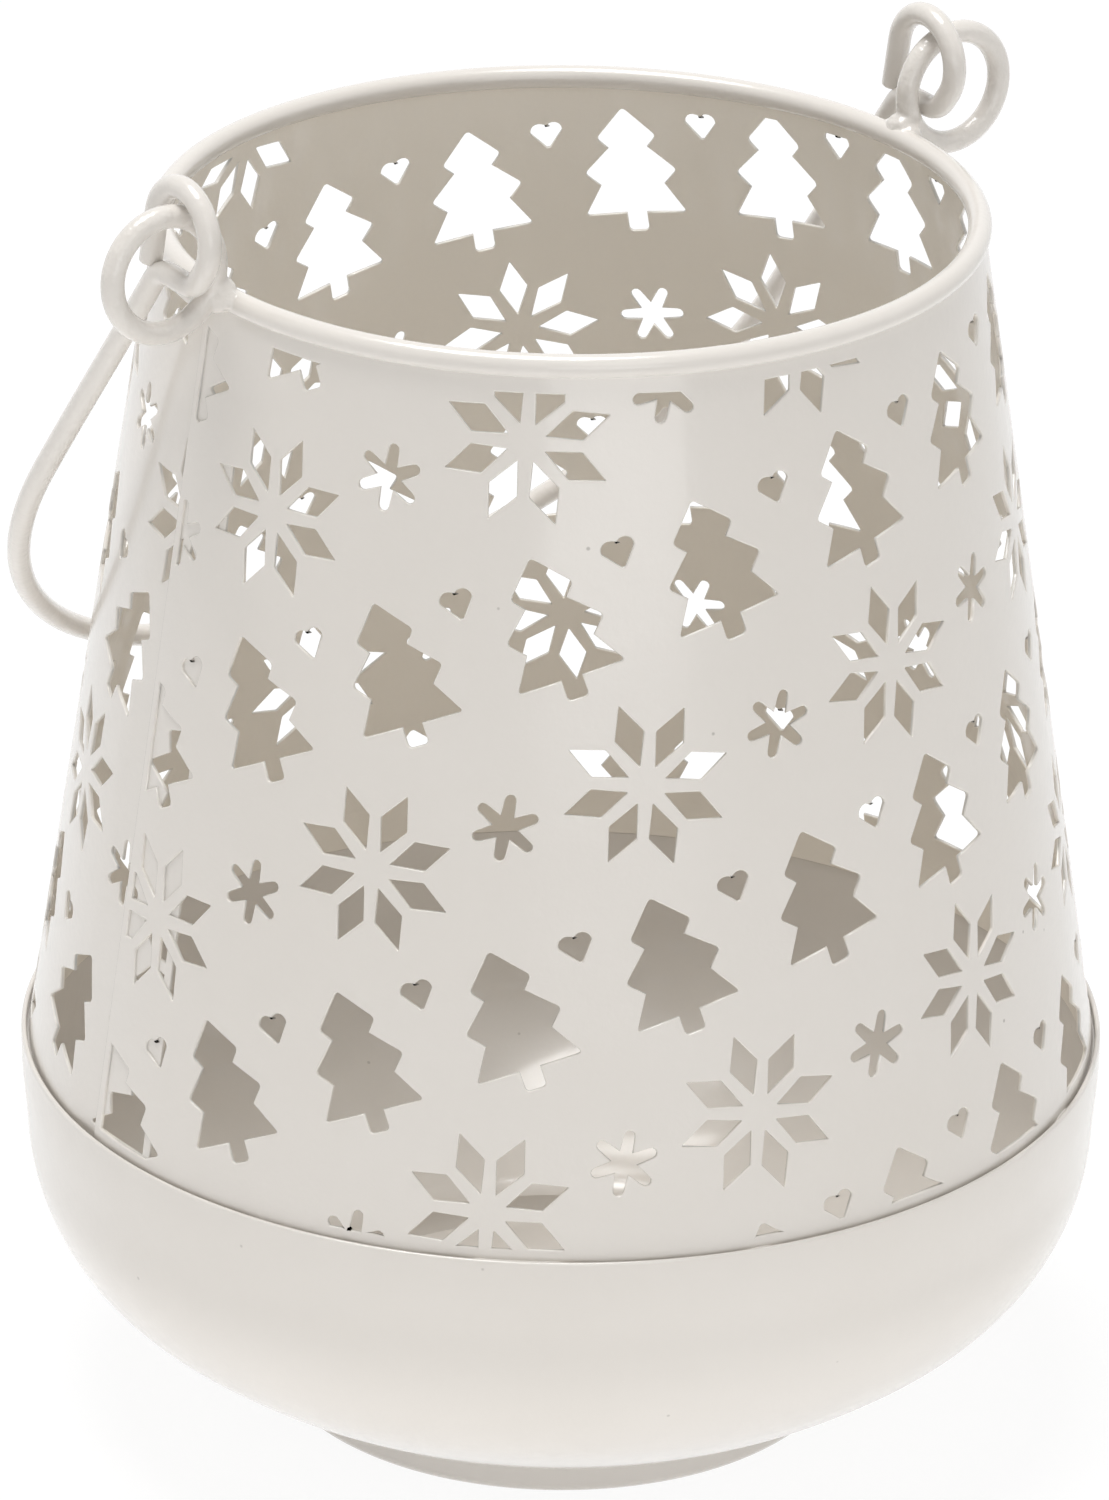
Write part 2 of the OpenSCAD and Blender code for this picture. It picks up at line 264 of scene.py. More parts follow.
def makeSteel(name, look):
    # drawn wire with fine lines that run round the rim
    material, tree, shader = newMaterial(name)
    place = addNode(tree, "ShaderNodeTexCoord").outputs["Object"]
    mapping = addNode(tree, "ShaderNodeMapping", {"Vector": place, "Scale": look["lineStretch"]})
    streaks = addNode(tree, "ShaderNodeTexNoise", {"Vector": mapping.outputs[0], **look["lines"]})
    lines = streaks.outputs["Fac"]
    feed(tree, shader.inputs["Base Color"], mixColours(tree, lines, look["colour"], look["darkColour"]))
    feed(tree, shader.inputs["Roughness"], remap(tree, lines, 0, 1, *look["roughness"]))
    addBump(tree, shader, lines, look["bump"], look["bumpDepth"])
    shader.inputs["Metallic"].default_value = 1
    return material


sheetEnamel = makeEnamel("sheetEnamel", enamelLook, edges=0.8)
bowlEnamel = makeEnamel("bowlEnamel", enamelLook, peel=0.2, wave=0.25, specks=0.4)
wireEnamel = makeEnamel("wireEnamel", enamelLook, peel=0.5, wave=0.5, specks=0.5)
weldEnamel = makeEnamel("weldEnamel", enamelLook, peel=0.9, wave=0.6, specks=0.8)
coreSteel = makeSteel("coreSteel", steelLook)
print("materials ready")


shade = {    # turns and directions are in degrees seen from above
    "sheet": 0.6,
    "mouthRadius": 52.3,
    "rimHeight": 162.7,
    "skirtRadius": 69.9,
    "skirtHeight": 50.4,
    "skirtDepth": 5.2,
    "plainAboveLip": 1.5,
    "plainBelowRim": 3.3,
    "plainEnds": 1,
    "rimTuck": 0.8,          # the sheet stops this far below the middle of the rolled rim
    "lapDirection": 176,     # the outer end of the sheet
    "lapTurn": 9.5,
    "joggleTurn": 7,
    "joggleEnd": 0.6,
    "lapSink": 0.34,         # the enamel fills the lap, so that its inner layer shows this far down
    "edgeRounding": 0.22,
    "edgeSteps": 2,
    "thinFrom": 0.9,         # the coat is thin where the edge is rounded out by this share and more
    "bendStep": 2.5,
    "fineBefore": 1.5,       # the bends are half as far apart from here on, ahead of the joggle
    "foldCuts": (-0.5, 0, 0.5),
    "cutSnap": 0.002,
    "weldSnap": 0.0004,
}

cutOuts = {
    "treePitch": 21, "rowPitch": 45.6, "rowSlope": 19.5, "laidFrom": 234,
    "treeStart": 5.1, "treeRow": 31.3, "starStart": -6, "starRow": 8.7,
    "heartRaise": 7, "flakeRaise": 0.6,
    "rows": (-2, 4), "places": (-6, 25),
    "keptReach": 0.85,       # how far off the sheet the middle of a cut-out may be, in its reaches
    "treeWidth": 13.8, "treeHeight": 18.5, "treeRounding": 0.55,
    # the right side of a tree, in shares of half its width and of its height
    "treeSide": [(0, 1), (0.58, 0.765), (0.377, 0.678), (0.906, 0.489), (0.623, 0.378),
                 (1, 0.146), (0.193, 0.146), (0.193, 0)],
    # lobes and lower point of a heart in shares of its width, with the lobe's arc in degrees
    "heartWidth": 4.2, "heartLobe": 0.265, "heartArc": (152, -8), "heartSteps": 8,
    "heartPoint": (0.05, -0.6),
    "starReach": 10.7, "petals": 8, "petalLength": 8.2, "petalWidth": 3.8, "petalRounding": 0.16,
    "flakeReach": 4.3, "flakeArms": 6, "flakeArm": 1.36, "flakeHub": 0.38, "flakeSteps": 5,
    "leastArea": 0.4, "trimSnap": 0.0001,
}

lean = math.atan2(shade["skirtRadius"] - shade["mouthRadius"], shade["rimHeight"] - shade["skirtHeight"])
slant = (shade["rimHeight"] - shade["skirtHeight"]) / math.cos(lean)
apexRun = shade["skirtRadius"] / math.sin(lean)
beadCentre = shade["mouthRadius"] - shade["sheet"]
sheetStart = shade["lapDirection"]
sheetEnd = shade["lapDirection"] + 360 + shade["lapTurn"]
chartRadius = 61     # the sheet is laid out with its angles drawn at this radius
mitreLimit = 0.35    # keeps sharp corners from being moved too far


def chartX(direction):
    return math.radians(direction) * chartRadius


def shadeRadius(climb):
    return shade["skirtRadius"] - max(0, climb) * math.sin(lean)


def lapSink(turn):
    end = math.radians(sheetStart + 360)
    joggle = smoothStep(end - math.radians(shade["joggleTurn"]), end - math.radians(shade["joggleEnd"]), turn)
    return shade["lapSink"] * joggle


def rollUp(place):
    # from the flat chart (round, up, out) to its place on the lantern
    turn = place.x / chartRadius
    out = place.z - lapSink(turn)
    climb = place.y
    if climb < 0:
        radius, height = shade["skirtRadius"] + out, shade["skirtHeight"] + climb
    else:
        radius = shadeRadius(climb) + out * math.cos(lean)
        height = shade["skirtHeight"] + climb * math.cos(lean) + out * math.sin(lean)
    return Vector((radius * math.cos(turn), radius * math.sin(turn), height)) * mm


def rollFacing(place, facing):
    # the direction that a point of the chart faces, once the sheet is rolled up
    turn = place.x / chartRadius
    tilt = lean if place.y > 0 else 0
    away = Vector((math.cos(turn) * math.cos(tilt), math.sin(turn) * math.cos(tilt), math.sin(tilt)))
    up = Vector((-math.cos(turn) * math.sin(tilt), -math.sin(turn) * math.sin(tilt), math.cos(tilt)))
    along = away.cross(up) * -1
    step = 0.002
    slope = (lapSink(turn + step) - lapSink(turn - step)) / (2 * step * shadeRadius(place.y))
    away = (away + along * slope).normalized()
    return (along * facing.x + up * facing.y + away * facing.z).normalized()


def turned(points, degrees):
    turn = Matrix.Rotation(math.radians(degrees), 2)
    return [tuple(turn @ Vector(point)) for point in points]


def treeOutline(c):
    right = [(x * c["treeWidth"] / 2, (y - 0.5) * c["treeHeight"]) for x, y in c["treeSide"]]
    return [right + [(-x, y) for x, y in reversed(right[1:])]], c["treeRounding"]


def heartOutline(c):
    width = c["heartWidth"]
    lobe = width * c["heartLobe"]
    right = arcPoints((width / 2 - lobe, 0), lobe, *c["heartArc"], c["heartSteps"])
    right.append((width * c["heartPoint"][0], width * c["heartPoint"][1]))
    return [right + [(-x, y) for x, y in reversed(right)]], 0


def starOutline(c):
    root, tip = c["starReach"] - c["petalLength"], c["starReach"]
    belly, half = root + c["petalLength"] / 2, c["petalWidth"] / 2
    petal = [(root, 0), (belly, -half), (tip, 0), (belly, half)]
    return [turned(petal, 360 / c["petals"] * i) for i in range(c["petals"])], c["petalRounding"]


def flakeOutline(c):
    half = math.radians(180 / c["flakeArms"])
    hub = c["flakeReach"] * c["flakeHub"]
    arm = [(hub * math.cos(half), -hub * math.sin(half))]
    end = c["flakeArm"] / 2
    arm += arcPoints((c["flakeReach"] - end, 0), end, -90, 90, c["flakeSteps"])
    outline = []
    for i in range(c["flakeArms"]):
        outline += turned(arm, 360 / c["flakeArms"] * i)
    return [outline], 0


def rowPlaces(c, start, row, pitch, reach):
    # every place of one kind of cut-out: direction, climb up the cone and tilt
    slope = math.radians(c["rowSlope"])
    spare = c["keptReach"] * reach
    spareTurn = math.degrees(spare / shade["mouthRadius"])
    places = []
    for j in range(*c["rows"]):
        for i in range(*c["places"]):
            along, up = start + i * pitch, row + j * c["rowPitch"]
            x = along * math.cos(slope) - up * math.sin(slope)
            y = apexRun - along * math.sin(slope) - up * math.cos(slope)
            swing = math.atan2(x, y)
            direction = c["laidFrom"] + math.degrees(swing) / math.sin(lean)
            climb = apexRun - math.hypot(x, y)
            onTurn = sheetStart - spareTurn < direction < sheetEnd + spareTurn
            onClimb = shade["plainAboveLip"] - spare < climb < slant - shade["plainBelowRim"] + spare
            if onTurn and onClimb:
                places.append((direction, climb, slope - swing))
    return places


def cutAcross(bm, point, normal, snap, clear=False):
    bmesh.ops.bisect_plane(bm, geom=bm.verts[:] + bm.edges[:] + bm.faces[:], dist=snap,
                           plane_co=point, plane_no=normal, clear_outer=clear)


def trimMotif(bm, direction, climb):
    # cuts a motif off at the plain margins and at the ends of the sheet
    run = apexRun - climb
    left = math.radians(sheetStart + shade["plainEnds"] - direction) * math.sin(lean)
    right = math.radians(sheetEnd - shade["plainEnds"] - direction) * math.sin(lean)
    planes = [((0, shade["plainAboveLip"] - climb, 0), (0, -1, 0)),
              ((0, slant - shade["plainBelowRim"] - climb, 0), (0, 1, 0)),
              ((0, run, 0), (-math.cos(left), -math.sin(left), 0)),
              ((0, run, 0), (math.cos(right), math.sin(right), 0))]
    for point, normal in planes:
        cutAcross(bm, point, normal, cutOuts["trimSnap"], clear=True)


def cornerTurn(face, loop):
    ahead = loop.link_loop_next.vert.co - loop.vert.co
    back = loop.link_loop_prev.vert.co - loop.vert.co
    return back.cross(ahead).z * face.normal.z


def mitre(first, second):
    # the corner's own move, where its two edges move out by one millimetre each
    return (first + second) / max(mitreLimit, 1 + first.dot(second))


def widen(bm, amount):
    # moves every edge of the flat motif outwards by the same amount
    shifts = {}
    for face in bm.faces:
        for loop in face.loops:
            before = (loop.vert.co - loop.link_loop_prev.vert.co).normalized()
            after = (loop.link_loop_next.vert.co - loop.vert.co).normalized()
            first = Vector((before.y, -before.x, 0)) * face.normal.z
            second = Vector((after.y, -after.x, 0)) * face.normal.z
            shifts[loop.vert] = mitre(first, second) * amount
    for vert, shift in shifts.items():
        vert.co += shift


def chartPoint(point, direction, climb):
    # from a motif's own flat place to the chart
    x, y = point.x, apexRun - climb - point.y
    turn = direction + math.degrees(math.atan2(x, y)) / math.sin(lean)
    return chartX(turn), apexRun - math.hypot(x, y)


def motifLoops(outlines, rounding, direction, climb, tilt):
    # closed loops of one motif in the chart, grown by the rounding of the sheet's edge
    loops = []
    for outline in outlines:
        bm = bmesh.new()
        face = bm.faces.new([bm.verts.new((x, y, 0)) for x, y in outline])
        bm.normal_update()
        if rounding:
            corners = [loop.vert for loop in face.loops if cornerTurn(face, loop) < 0]
            roundOff(bm, corners, rounding, "VERTICES")
        bmesh.ops.rotate(bm, cent=(0, 0, 0), matrix=Matrix.Rotation(tilt, 3, "Z"), verts=bm.verts[:])
        trimMotif(bm, direction, climb)
        bm.normal_update()
        if sum(face.calc_area() for face in bm.faces) > cutOuts["leastArea"]:
            widen(bm, shade["edgeRounding"])
            for face in bm.faces:
                loops.append([chartPoint(loop.vert.co, direction, climb) for loop in face.loops])
        bm.free()
    return loops


def drawLoop(bm, points):
    verts = [bm.verts.new((x, y, 0)) for x, y in points]
    for a, b in zip(verts, verts[1:] + verts[:1]):
        bm.edges.new((a, b))


def drawFlatSheet(bm, c):
    starPitch = c["treePitch"] * math.sqrt(3)
    kinds = [
        (treeOutline(c), c["treeStart"], c["treeRow"], c["treePitch"], c["treeHeight"] / 2),
        (heartOutline(c), c["treeStart"] - c["treePitch"] / 2, c["treeRow"] + c["heartRaise"],
         c["treePitch"], c["heartWidth"] / 2),
        (starOutline(c), c["starStart"], c["starRow"], starPitch, c["starReach"]),
        (flakeOutline(c), c["starStart"] + starPitch / 2, c["starRow"] + c["flakeRaise"],
         starPitch, c["flakeReach"]),
    ]
    count = 0
    for (outlines, rounding), start, row, pitch, reach in kinds:
        for direction, climb, tilt in rowPlaces(c, start, row, pitch, reach):
            for points in motifLoops(outlines, rounding, direction, climb, tilt):
                drawLoop(bm, points)
                count += 1
    first, last = chartX(sheetStart), chartX(sheetEnd)
    low, high = -shade["skirtDepth"], slant - shade["rimTuck"]
    drawLoop(bm, [(first, low), (last, low), (last, high), (first, high)])
    bmesh.ops.triangle_fill(bm, use_beauty=True, use_dissolve=False, edges=bm.edges[:], normal=(0, 0, 1))
    print("sheet filled with", count, "openings,", len(bm.faces), "faces")


def cutForRolling(bm):
    # cuts across the sheet, so that it can be rolled up
    turns = []
    turn = sheetStart + shade["bendStep"] / 2
    while turn < sheetEnd:
        turns.append(turn)
        near = turn > sheetStart + 360 - shade["joggleTurn"] - shade["fineBefore"]
        turn += shade["bendStep"] / (2 if near else 1)
    for turn in turns:
        cutAcross(bm, (chartX(turn), 0, 0), (1, 0, 0), shade["cutSnap"])
    for climb in shade["foldCuts"] + (slant / 3, slant * 2 / 3):
        cutAcross(bm, (0, climb, 0), (0, 1, 0), shade["cutSnap"])
    bmesh.ops.recalc_face_normals(bm, faces=bm.faces[:])
    if bm.faces[:][0].normal.z < 0:
        bmesh.ops.reverse_faces(bm, faces=bm.faces[:])
    bm.normal_update()


def edgeShifts(bm):
    # which way each vertex of an open edge moves to go off the sheet, by one millimetre
    shifts = {}
    for edge in bm.edges:
        if not edge.is_boundary:
            continue
        loop = edge.link_loops[0]
        way = loop.link_loop_next.vert.co - loop.vert.co
        stretch = shadeRadius((edge.verts[0].co.y + edge.verts[1].co.y) / 2) / chartRadius
        true = Vector((way.x * stretch, way.y, 0)).normalized()
        off = Vector((true.y, -true.x, 0)) * (1 if loop.face.normal.z > 0 else -1)
        for vert in edge.verts:
            shifts.setdefault(vert, []).append(off)
    result = {}
    for vert, offs in shifts.items():
        move = mitre(offs[0], offs[-1])
        move.x *= chartRadius / shadeRadius(vert.co.y)
        result[vert] = move
    return result


def edgeProfile():
    # the rounded edge from the outer face to the inner one: how far off, how deep, which way it faces
    rounding, steps = shade["edgeRounding"], shade["edgeSteps"]
    profile = []
    for k in range(1, steps + 1):
        bend = math.radians(90 * k / steps)
        profile.append((rounding * math.sin(bend), rounding * (1 - math.cos(bend)), bend))
    profile += [(off, shade["sheet"] - deep, math.pi - bend) for off, deep, bend in reversed(profile)]
    return profile + [(0, shade["sheet"], math.pi)]


def picked(made, kind):
    return [item for item in made["geom"] if isinstance(item, kind)]


def thickenSheet(bm, cutEdge, facing, inside):
    # the inner wall is a copy one sheet further in, and the cut edges are rounded between the two
    for vert in bm.verts:
        vert[facing] = (0, 0, 1)
    ring = {vert: (vert.co.copy(), move) for vert, move in edgeShifts(bm).items()}
    rim = [edge for edge in bm.edges if edge.is_boundary]
    copy = bmesh.ops.duplicate(bm, geom=bm.verts[:] + bm.edges[:] + bm.faces[:])
    inner = picked(copy, bmesh.types.BMVert)
    bmesh.ops.translate(bm, vec=(0, 0, -shade["sheet"]), verts=inner)
    for vert in inner:
        vert[facing] = (0, 0, -1)
        # marks the inner wall for the painted bounce light of the enamel
        vert[inside] = 1
    bmesh.ops.reverse_faces(bm, faces=picked(copy, bmesh.types.BMFace))
    for off, deep, bend in edgeProfile():
        grown = bmesh.ops.extrude_edge_only(bm, edges=rim)
        nextRing = {}
        for vert in picked(grown, bmesh.types.BMVert):
            old = next(edge.other_vert(vert) for edge in vert.link_edges if edge.other_vert(vert) in ring)
            base, move = ring[old]
            vert.co = base + move * off - Vector((0, 0, deep))
            vert[cutEdge] = 1.0 if off > shade["edgeRounding"] * shade["thinFrom"] else 0.0
            flat = Vector((move.x * shadeRadius(base.y) / chartRadius, move.y, 0)).normalized()
            vert[facing] = flat * math.sin(bend) + Vector((0, 0, math.cos(bend)))
            # the rounded edge shades over to the painted bounce light of the inner wall
            vert[inside] = deep / shade["sheet"]
            nextRing[vert] = (base, move)
        rim = [edge for edge in picked(grown, bmesh.types.BMEdge)
               if edge.verts[0] in nextRing and edge.verts[1] in nextRing]
        ring = nextRing
    bmesh.ops.remove_doubles(bm, verts=list(ring) + inner, dist=shade["weldSnap"])
    bmesh.ops.recalc_face_normals(bm, faces=bm.faces[:])


def buildShadeSheet():
    bm = bmesh.new()
    cutEdge = bm.verts.layers.float.new("cutEdge")
    facing = bm.verts.layers.float_vector.new("facing")
    inside = bm.verts.layers.float.new("inside")
    drawFlatSheet(bm, cutOuts)
    cutForRolling(bm)
    thickenSheet(bm, cutEdge, facing, inside)
    normals = [rollFacing(vert.co, vert[facing]) for vert in bm.verts]
    for vert in bm.verts:
        vert.co = rollUp(vert.co)
    return bm, normals


rimRoll = {"radius": 1.5, "steps": 180, "sides": 24, "weldSnap": 0.00001}


def buildRimRoll():
    bm = bmesh.new()
    ring = arcPoints((beadCentre, shade["rimHeight"]), rimRoll["radius"], 0, 360, rimRoll["sides"])
    spinProfile(bm, ring, rimRoll["steps"])
    bmesh.ops.remove_doubles(bm, verts=bm.verts[:], dist=rimRoll["weldSnap"])
    bmesh.ops.recalc_face_normals(bm, faces=bm.faces[:])
    return bm


sheetBm, sheetNormals = buildShadeSheet()
pierced = finishPiece("piercedSheet", sheetBm, sheetEnamel, sharpAngle=180)
pierced.data.normals_split_custom_set_from_vertices(sheetNormals)
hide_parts("shade")
rolled = finishPiece("rolledRim", buildRimRoll(), sheetEnamel)
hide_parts("shade")
print("pierced sheet has", len(pierced.data.polygons), "faces")


ears = {
    "ringRadius": 7.5,
    "wireRadius": 1.5,
    "ringSteps": 96,
    "wireSides": 20,
    "lift": 28.3,          # how steeply the ears rise from the rim, in degrees
    "weldRadius": 2.4,
    # lumps of the weld: along the rim, down into it and size
    "weldSpots": ((0, 0, 1), (1.6, 0.5, 0.62), (-1.7, 0.4, 0.58)),
    "spotIn": 0.4,
    "spotDown": 0.3,
    "rimArc": 14,          # the length of rolled rim that the weld flows on to, in degrees
    "rimSteps": 14,
    "rimSides": 20,
    "rimInset": 0.04,
    "voxel": 0.22,
    "relax": 0.5,
    "relaxSteps": 5,
    "roughNear": 2.2,      # the weld's surface is uneven up to here, and less and less from here on
    "roughFar": 4.5,
    "roughScale": 900,
    "roughDepth": 0.16,
}
earReach = ears["ringRadius"] + ears["wireRadius"] + rimRoll["radius"]
earX = beadCentre + earReach * math.cos(math.radians(ears["lift"]))
earZ = shade["rimHeight"] + earReach * math.sin(math.radians(ears["lift"]))


def edgesOf(verts):
    return list(dict.fromkeys(edge for vert in verts for edge in vert.link_edges))


def addRing(bm, centre, major, minor, axis):
    # wire ring: a circle spun about an axis through the centre
    made = bmesh.ops.create_circle(bm, cap_ends=False, segments=ears["wireSides"], radius=minor)
    verts = made["verts"]
    side = axis.orthogonal().normalized()
    for vert in verts:
        vert.co = centre + side * (major + vert.co.x) + axis * vert.co.y
    spinGeometry(bm, verts + edgesOf(verts), centre, axis, 2 * math.pi, ears["ringSteps"], True)


def melt(name, bm, voxel, relaxing, steps):
    # runs the solids of a bmesh together and lets their joints flow
    bmesh.ops.recalc_face_normals(bm, faces=bm.faces[:])
    rough = addObject(name, meshFrom(name, bm))
    remesh = rough.modifiers.new("melt", "REMESH")
    remesh.mode = "VOXEL"
    remesh.voxel_size = voxel * mm
    relax = rough.modifiers.new("relax", "SMOOTH")
    relax.factor = relaxing
    relax.iterations = steps
    evaluated = rough.evaluated_get(bpy.context.evaluated_depsgraph_get())
    shape = bpy.data.meshes.new_from_object(evaluated)
    bpy.data.objects.remove(rough)
    result = bmesh.new()
    result.from_mesh(shape)
    bpy.data.meshes.remove(shape)
    return result


def addRimLength(bm, side):
    # a short length of the rolled rim, for the weld to flow on to
    section = arcPoints((beadCentre, shade["rimHeight"]), rimRoll["radius"] - ears["rimInset"],
                        0, 360, ears["rimSides"])
    verts = [bm.verts.new((x * mm, 0, z * mm)) for x, z in section[:-1]]
    for a, b in zip(verts, verts[1:] + verts[:1]):
        bm.edges.new((a, b))
    start = (0 if side > 0 else math.pi) - math.radians(ears["rimArc"] / 2)
    bmesh.ops.rotate(bm, cent=(0, 0, 0), matrix=Matrix.Rotation(start, 3, "Z"), verts=verts)
    cap = bm.faces.new(verts)
    spinGeometry(bm, [cap], (0, 0, 0), (0, 0, 1), math.radians(ears["rimArc"]), ears["rimSteps"], False)


def buildEar(side):
    bm = bmesh.new()
    centre = Vector((earX * side, 0, earZ)) * mm
    addRing(bm, centre, ears["ringRadius"] * mm, ears["wireRadius"] * mm, Vector((0, 1, 0)))
    lift = math.radians(ears["lift"])
    weldX = beadCentre + rimRoll["radius"] * math.cos(lift)
    weldZ = shade["rimHeight"] + rimRoll["radius"] * math.sin(lift)
    for along, down, size in ears["weldSpots"]:
        spot = bmesh.ops.create_icosphere(bm, subdivisions=3, radius=ears["weldRadius"] * size * mm)
        where = Vector((weldX - down * ears["spotIn"], along, weldZ - down * ears["spotDown"])) * mm
        where.x *= side
        bmesh.ops.translate(bm, vec=where, verts=spot["verts"])
    addRimLength(bm, side)
    result = melt("ear", bm, ears["voxel"], ears["relax"], ears["relaxSteps"])
    weld = Vector((weldX * side, 0, weldZ)) * mm
    for vert in result.verts:
        near = 1 - smoothStep(ears["roughNear"] * mm, ears["roughFar"] * mm, (vert.co - weld).length)
        if near > 0:
            rough = noise.noise(vert.co * ears["roughScale"])
            vert.co += vert.normal * near * rough * ears["roughDepth"] * mm
    return result


for name, side, node in (("leftEar", -1, "ear_left"), ("rightEar", 1, "ear_right")):
    piece = finishPiece(name, buildEar(side), weldEnamel, sharpAngle=70)
    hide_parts(node)
print("ears welded on")


bail = {
    "wireRadius": 1.5,
    "wireSides": 20,
    "endRounding": 0.16,     # of the wire's radius
    "archRadius": 58.1,
    "archHeight": 53.3,
    "archSteps": 72,
    "splay": 0.8,
    "shift": -0.5,
    "hookRadius": 5.9,
    "hookTurn": 206,
    "tipLength": 7,
    "hookReach": 4.7,
    "hookSet": 0.3,
    "joggleRadius": 4,
    "joggleLength": 3.4,
    "bendStep": 7,           # degrees from ring to ring in a bend
    "straightStep": 3,       # and millimetres along a straight
    "hingeDrop": 1.8,
    "rest": 143.1,           # from upright, in degrees
    "waver": 0.14,           # how far the hand-bent wire strays
    "waverScale": 0.035,
    "calmBelow": 12,         # the hooks and the foot of the legs don't stray
    "looseAbove": 30,
}


def bailSteps(b):
    # one leg from the arch down to the hook's tip: roll, radius of the bend or 0, degrees or millimetres
    joggle = math.degrees(math.acos((2 * b["joggleRadius"] - b["hookSet"] - b["hookRadius"])
                                    / math.hypot(2 * b["joggleRadius"], b["joggleLength"]))
                          - math.atan2(b["joggleLength"], 2 * b["joggleRadius"]))
    shank = b["wireRadius"]
    turn = math.radians(joggle)
    joggleTop = (b["hookRadius"] - b["hookReach"] + shank + 2 * b["joggleRadius"] * math.sin(turn)
                 + b["joggleLength"] * math.cos(turn))
    run = (b["archHeight"] - joggleTop) / math.cos(math.radians(b["splay"]))
    return [(0, 0, run), (-90, b["joggleRadius"], joggle), (0, 0, b["joggleLength"]),
            (180, b["joggleRadius"], joggle), (0, 0, shank), (0, b["hookRadius"], b["hookTurn"]),
            (0, 0, b["tipLength"])]


def bailPath(b):
    # middle line of the bail in the plane of its hinge, from one hook's tip to the other
    splay = math.radians(b["splay"])
    place = (Matrix.Translation((b["archRadius"], 0, b["archHeight"])) @ Matrix.Rotation(splay, 4, "Y")
             @ Matrix.Rotation(math.pi, 4, "X"))
    points = [place.translation.copy()]
    for roll, radius, amount in bailSteps(b):
        place = place @ Matrix.Rotation(math.radians(roll), 4, "Z")
        if radius:
            count = max(4, int(amount / b["bendStep"]))
            for k in range(1, count + 1):
                bend = Matrix.Rotation(math.radians(amount * k / count), 4, "Y")
                bent = (place @ Matrix.Translation((radius, 0, 0)) @ bend
                        @ Matrix.Translation((-radius, 0, 0)))
                points.append(bent.translation.copy())
            place = bent
        else:
            count = max(1, int(amount / b["straightStep"]))
            points += [place @ Vector((0, 0, amount * k / count)) for k in range(1, count + 1)]
            place = place @ Matrix.Translation((0, 0, amount))
    bow = b["archRadius"] / math.cos(splay)
    centre = b["archHeight"] + bow * math.sin(splay)
    angles = [-splay + (math.pi + 2 * splay) * k / b["archSteps"] for k in range(1, b["archSteps"])]
    arch = [Vector((bow * math.cos(angle), 0, centre + bow * math.sin(angle))) for angle in angles]
    left = [Vector((-point.x, point.y, point.z)) for point in points]
    return list(reversed(points)) + arch + left


def tubeAlong(bm, points, radius, sides, endRounding):
    # round wire along a path: one circle carried along it, ring by ring
    frameUp = None
    rings = []
    for i, point in enumerate(points):
        ahead = points[min(i + 1, len(points) - 1)] - points[max(i - 1, 0)]
        ahead.normalize()
        if frameUp is None:
            frameUp = ahead.orthogonal().normalized()
        frameUp = (frameUp - ahead * frameUp.dot(ahead)).normalized()
        made = bmesh.ops.create_circle(bm, cap_ends=False, segments=sides, radius=radius)
        place = Matrix((ahead.cross(frameUp), frameUp, ahead)).transposed().to_4x4()
        place.translation = point
        bmesh.ops.transform(bm, matrix=place, verts=made["verts"])
        rings.append(edgesOf(made["verts"]))
    for a, b in zip(rings, rings[1:]):
        bmesh.ops.bridge_loops(bm, edges=a + b)
    for ring in (rings[0], rings[-1]):
        ends = bmesh.ops.contextual_create(bm, geom=ring)
        lip = [edge for face in ends["faces"] for edge in face.edges]
        roundOff(bm, lip, radius * endRounding, "EDGES")
    bmesh.ops.recalc_face_normals(bm, faces=bm.faces[:])


def buildBail(b):
    turn = Matrix.Rotation(math.radians(-b["rest"]), 4, "X")
    hinge = Vector((b["shift"], 0, earZ + ears["ringRadius"] - b["hingeDrop"]))
    placed = []
    for point in bailPath(b):
        seeds = [point * b["waverScale"] + Vector((7 * k, 0, 0)) for k in (1, 2, 3)]
        loose = smoothStep(b["calmBelow"], b["looseAbove"], point.z)
        stray = Vector([noise.noise(seed) for seed in seeds]) * b["waver"] * loose
        placed.append((turn @ (point + stray) + hinge) * mm)
    bm = bmesh.new()
    tubeAlong(bm, placed, b["wireRadius"] * mm, b["wireSides"], b["endRounding"])
    return bm


bailWire = finishPiece("bailWire", buildBail(bail), wireEnamel, body="bail")
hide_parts("bail")
print("bail bent")


bowl = {
    "sheet": 0.7,
    "wallRadius": 70.25,
    "lipRadius": 70.9,
    "lipHeight": 50.7,
    "seatHeight": 45.2,
    "seatSlope": 0.3,
    "seatClear": 1,            # the inner wall's curve ends this far below the seat
    "footRadius": 38.6,
    "footHeight": 4.6,
    "footRounding": 1.4,
    "footLand": 4,             # the foot stands on a flat ring this wide
    "footBlend": 1.1,          # radius of the soft turn where the foot meets the floor's curve
    "footTurn": ((0, -1), (0.12, -0.35), (0.45, 0.02)),    # points of that turn in its radii
    "footInside": (0.4, 0.6),  # how much the foot's two inner corners are cut back
    "cornerRadius": 27,
    "cornerSteps": 20,
    "floorRadius": 81,
    "floorSteps": 16,
    "cornerTurn": 50.5,
    "flareFrom": 36.5,         # the wall opens out slowly from here up to the lip
    "flareTo": 47.5,
    "roundSteps": 8,
    "steps": 360,
    "weldSnap": 0.000001,
}


